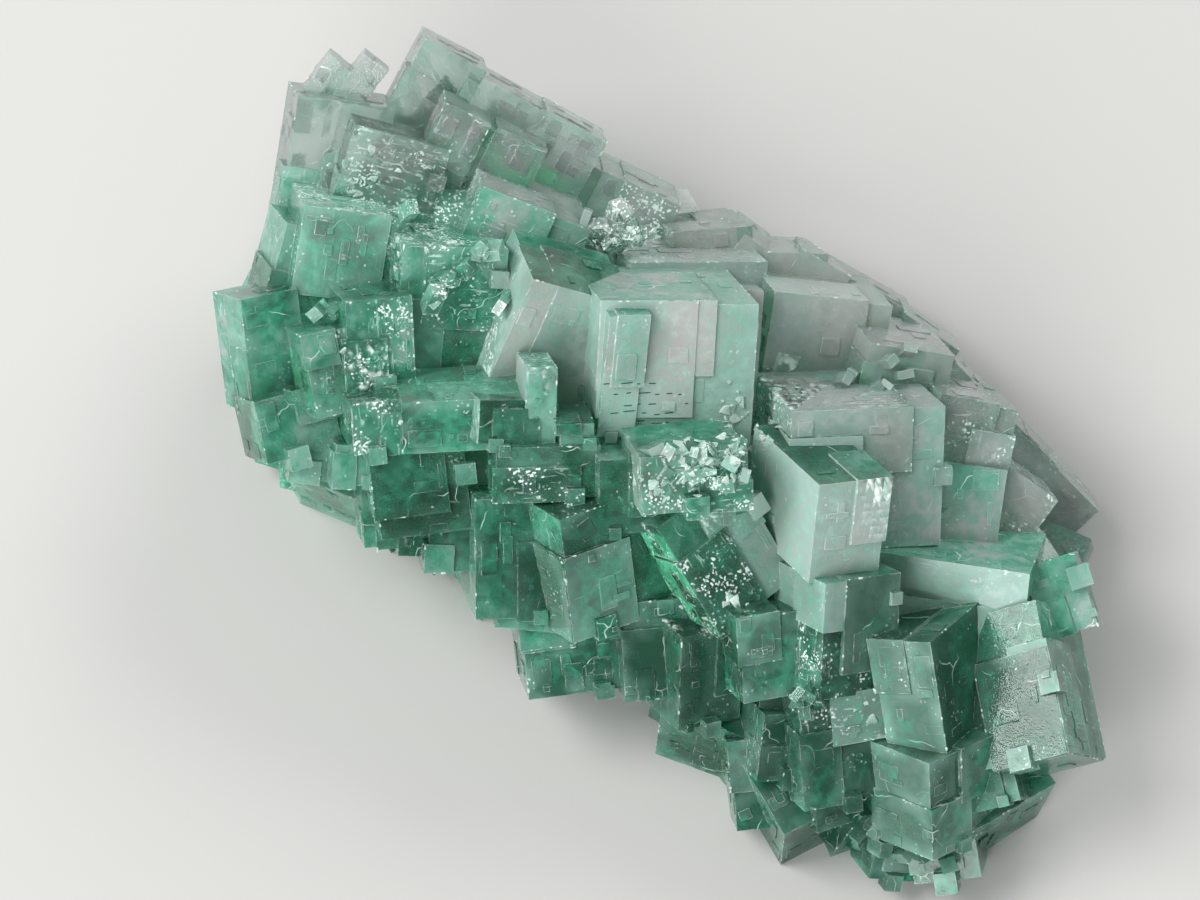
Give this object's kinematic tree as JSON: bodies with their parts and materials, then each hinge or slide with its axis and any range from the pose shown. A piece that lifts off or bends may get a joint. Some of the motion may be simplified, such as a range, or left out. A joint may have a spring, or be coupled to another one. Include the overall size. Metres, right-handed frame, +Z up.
{
  "type": "fluorite cubic crystal cluster",
  "caption": "Intergrown cluster of clear to green cubic crystals with stepped faces, terraces and broken ledges, flat where it broke off its rock",
  "frame": {"origin": "middle of the underside of the bounding box, on the surface that the cluster rests on", "axes": "+X along the cluster's long axis towards its lower right end as displayed, +Y towards the hidden far side, +Z up from the flat break"},
  "size_m": [0.1278, 0.0764, 0.043],
  "materials": {
    "clear_green_crystal": "satin-etched clear mineral crystal, mint green to colourless"
  },
  "bodies": {
    "root": {"crystal_cluster": "clear_green_crystal"}
  },
  "joints": []
}
